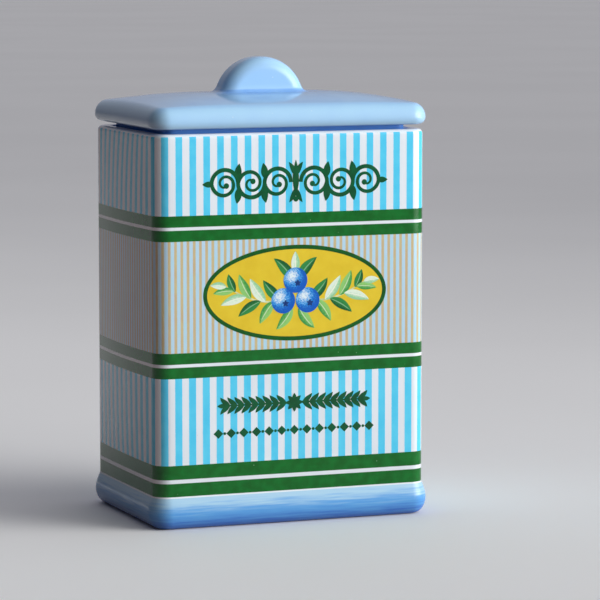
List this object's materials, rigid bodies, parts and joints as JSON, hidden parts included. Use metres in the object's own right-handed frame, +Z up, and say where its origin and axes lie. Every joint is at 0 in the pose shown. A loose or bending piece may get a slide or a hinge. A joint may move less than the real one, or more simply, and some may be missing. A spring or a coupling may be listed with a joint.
{
  "type": "ceramic storage jar",
  "caption": "Rectangular glazed ceramic storage jar with a swelling base, a crowned lift-off lid with a half-disc knob, and a silicone seal ring round its collar.",
  "frame": {"origin": "on the table under the middle of the jar", "axes": "+Z up along the lid's lift; X along the broad walls, which face -Y and +Y; -Y is the decorated front"},
  "size_m": [0.124, 0.085, 0.1927],
  "materials": {
    "body_glaze": "clear gloss glaze over a pale ground with printed stripes and bands, blue base",
    "lid_glaze": "gloss pale cornflower blue glaze",
    "seal_silicone": "clear satin silicone"
  },
  "bodies": {
    "jar": {"jar_body": "body_glaze"},
    "lid": {"lid": "lid_glaze", "seal_ring": "seal_silicone"}
  },
  "joints": [
    {"name": "lid_lift", "type": "slide", "parent": "jar", "child": "lid", "axis": [0, 0, 1], "range_m": [0, 0.15]}
  ]
}
